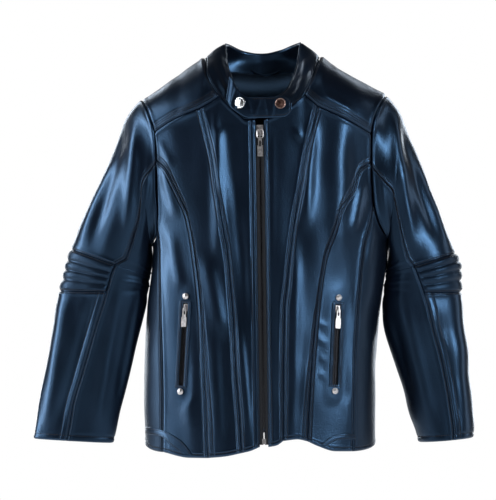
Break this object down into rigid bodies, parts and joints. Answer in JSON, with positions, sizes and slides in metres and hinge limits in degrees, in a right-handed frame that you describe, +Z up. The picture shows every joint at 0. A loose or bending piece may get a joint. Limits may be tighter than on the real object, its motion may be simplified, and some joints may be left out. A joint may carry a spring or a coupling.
{
  "type": "leather riding jacket",
  "caption": "Fitted collarless-band riding jacket hanging closed, with panelled body, pleated elbows, zipped front and pockets, and a snapped collar strap.",
  "frame": {"origin": "middle of the back neck seam, where a hanger carries the jacket", "axes": "+Z up, the front of the jacket faces -Y, the wearer's right arm is towards -X"},
  "size_m": [0.7036, 0.2134, 0.6602],
  "materials": {
    "leather": "pebbled, soft gloss",
    "leather_side": "pebbled, soft gloss",
    "lining": "matte woven",
    "tape": "matte woven",
    "nickel": "antique nickel",
    "bronze": "antique bronze",
    "silver": "worn silver"
  },
  "bodies": {
    "jacket": {"back_left": "leather", "back_right": "leather", "back_yoke": "leather", "collar_facing": "leather", "collar_outer": "leather", "collar_tab_base": "leather", "front_centre_left": "leather", "front_centre_right": "leather", "front_middle_left": "leather", "front_middle_right": "leather", "front_side_left": "leather", "front_side_right": "leather", "hang_loop": "lining", "lining_back": "lining", "lining_front_left": "lining", "lining_front_right": "lining", "pocket_bag_left": "lining", "pocket_bag_right": "lining", "pocket_stud_left_bottom": "nickel", "pocket_stud_left_top": "nickel", "pocket_stud_right_bottom": "nickel", "pocket_stud_right_top": "nickel", "pocket_welt_left": "leather", "pocket_welt_right": "leather", "pocket_zip_left": "nickel", "pocket_zip_right": "nickel", "side_left": "leather_side", "side_right": "leather_side", "snap_cap_left": "silver", "snap_stud_right": "nickel", "teeth_left": "nickel", "teeth_right": "nickel", "yoke_left": "leather", "yoke_right": "leather", "zip_box": "nickel", "zip_tape_left": "tape", "zip_tape_right": "tape"},
    "sleeve_left": {"sleeve_left_upper": "leather", "sleeve_left_upper_under": "leather_side", "lining_left_upper": "lining"},
    "sleeve_right": {"sleeve_right_upper": "leather", "sleeve_right_upper_under": "leather_side", "lining_right_upper": "lining"},
    "forearm_left": {"elbow_left_pleats": "leather", "forearm_left_outer": "leather", "forearm_left_under": "leather_side", "lining_left_lower": "lining"},
    "forearm_right": {"elbow_right_pleats": "leather", "forearm_right_outer": "leather", "forearm_right_under": "leather_side", "lining_right_lower": "lining"},
    "collar_strap": {"collar_tab": "leather", "snap_cap_right": "bronze"},
    "zip_slider": {"zip_slider": "nickel"},
    "zip_link": {"zip_link": "nickel"},
    "zip_tab": {"zip_tab": "nickel"},
    "pocket_slider_left": {"pocket_slider_left": "nickel"},
    "pocket_tab_left": {"pocket_tab_left": "nickel"},
    "pocket_slider_right": {"pocket_slider_right": "nickel"},
    "pocket_tab_right": {"pocket_tab_right": "nickel"}
  },
  "joints": [
    {"name": "shoulder_left_spread", "type": "hinge", "parent": "jacket", "child": "sleeve_left", "pos_m": [-0.19, 0, -0.052], "axis": [0, 1, 0], "range_deg": [0, 35]},
    {"name": "shoulder_right_spread", "type": "hinge", "parent": "jacket", "child": "sleeve_right", "pos_m": [0.1964, 0, -0.0456], "axis": [0, -1, 0], "range_deg": [0, 35]},
    {"name": "elbow_left_bend", "type": "hinge", "parent": "sleeve_left", "child": "forearm_left", "pos_m": [-0.24152, -0.0409, -0.3116], "axis": [-0.947, 0, 0.3213], "range_deg": [0, 70]},
    {"name": "elbow_right_bend", "type": "hinge", "parent": "sleeve_right", "child": "forearm_right", "pos_m": [0.25384, -0.0459, -0.3128], "axis": [-0.9575, 0, -0.2885], "range_deg": [0, 70]},
    {"name": "collar_strap_open", "type": "hinge", "parent": "jacket", "child": "collar_strap", "pos_m": [-0.0253, -0.0986, -0.066], "axis": [0, 0, -1], "range_deg": [0, 110]},
    {"name": "zip_slider_run", "type": "slide", "parent": "jacket", "child": "zip_slider", "axis": [0.0136, -0.0394, -0.9991], "range_m": [0, 0.474]},
    {"name": "zip_link_lift", "type": "hinge", "parent": "zip_slider", "child": "zip_link", "pos_m": [-0.00372, -0.09515, -0.10178], "axis": [-0.9999, 0, -0.0136], "range_deg": [0, 110]},
    {"name": "zip_tab_lift", "type": "hinge", "parent": "zip_link", "child": "zip_tab", "pos_m": [-0.00355, -0.09565, -0.11437], "axis": [-0.9999, 0, -0.0136], "range_deg": [0, 60]},
    {"name": "pocket_left_run", "type": "slide", "parent": "jacket", "child": "pocket_slider_left", "axis": [-0.0542, -0.0223, -0.9983], "range_m": [0, 0.088]},
    {"name": "pocket_left_tab_lift", "type": "hinge", "parent": "pocket_slider_left", "child": "pocket_tab_left", "pos_m": [-0.12248, -0.08911, -0.38362], "axis": [-0.9233, 0.3819, 0.0416], "range_deg": [0, 140]},
    {"name": "pocket_right_run", "type": "slide", "parent": "jacket", "child": "pocket_slider_right", "axis": [-0.0408, -0.0362, -0.9985], "range_m": [0, 0.088]},
    {"name": "pocket_right_tab_lift", "type": "hinge", "parent": "pocket_slider_right", "child": "pocket_tab_right", "pos_m": [0.12065, -0.09133, -0.38593], "axis": [-0.9353, -0.3502, 0.0509], "range_deg": [0, 140]}
  ]
}
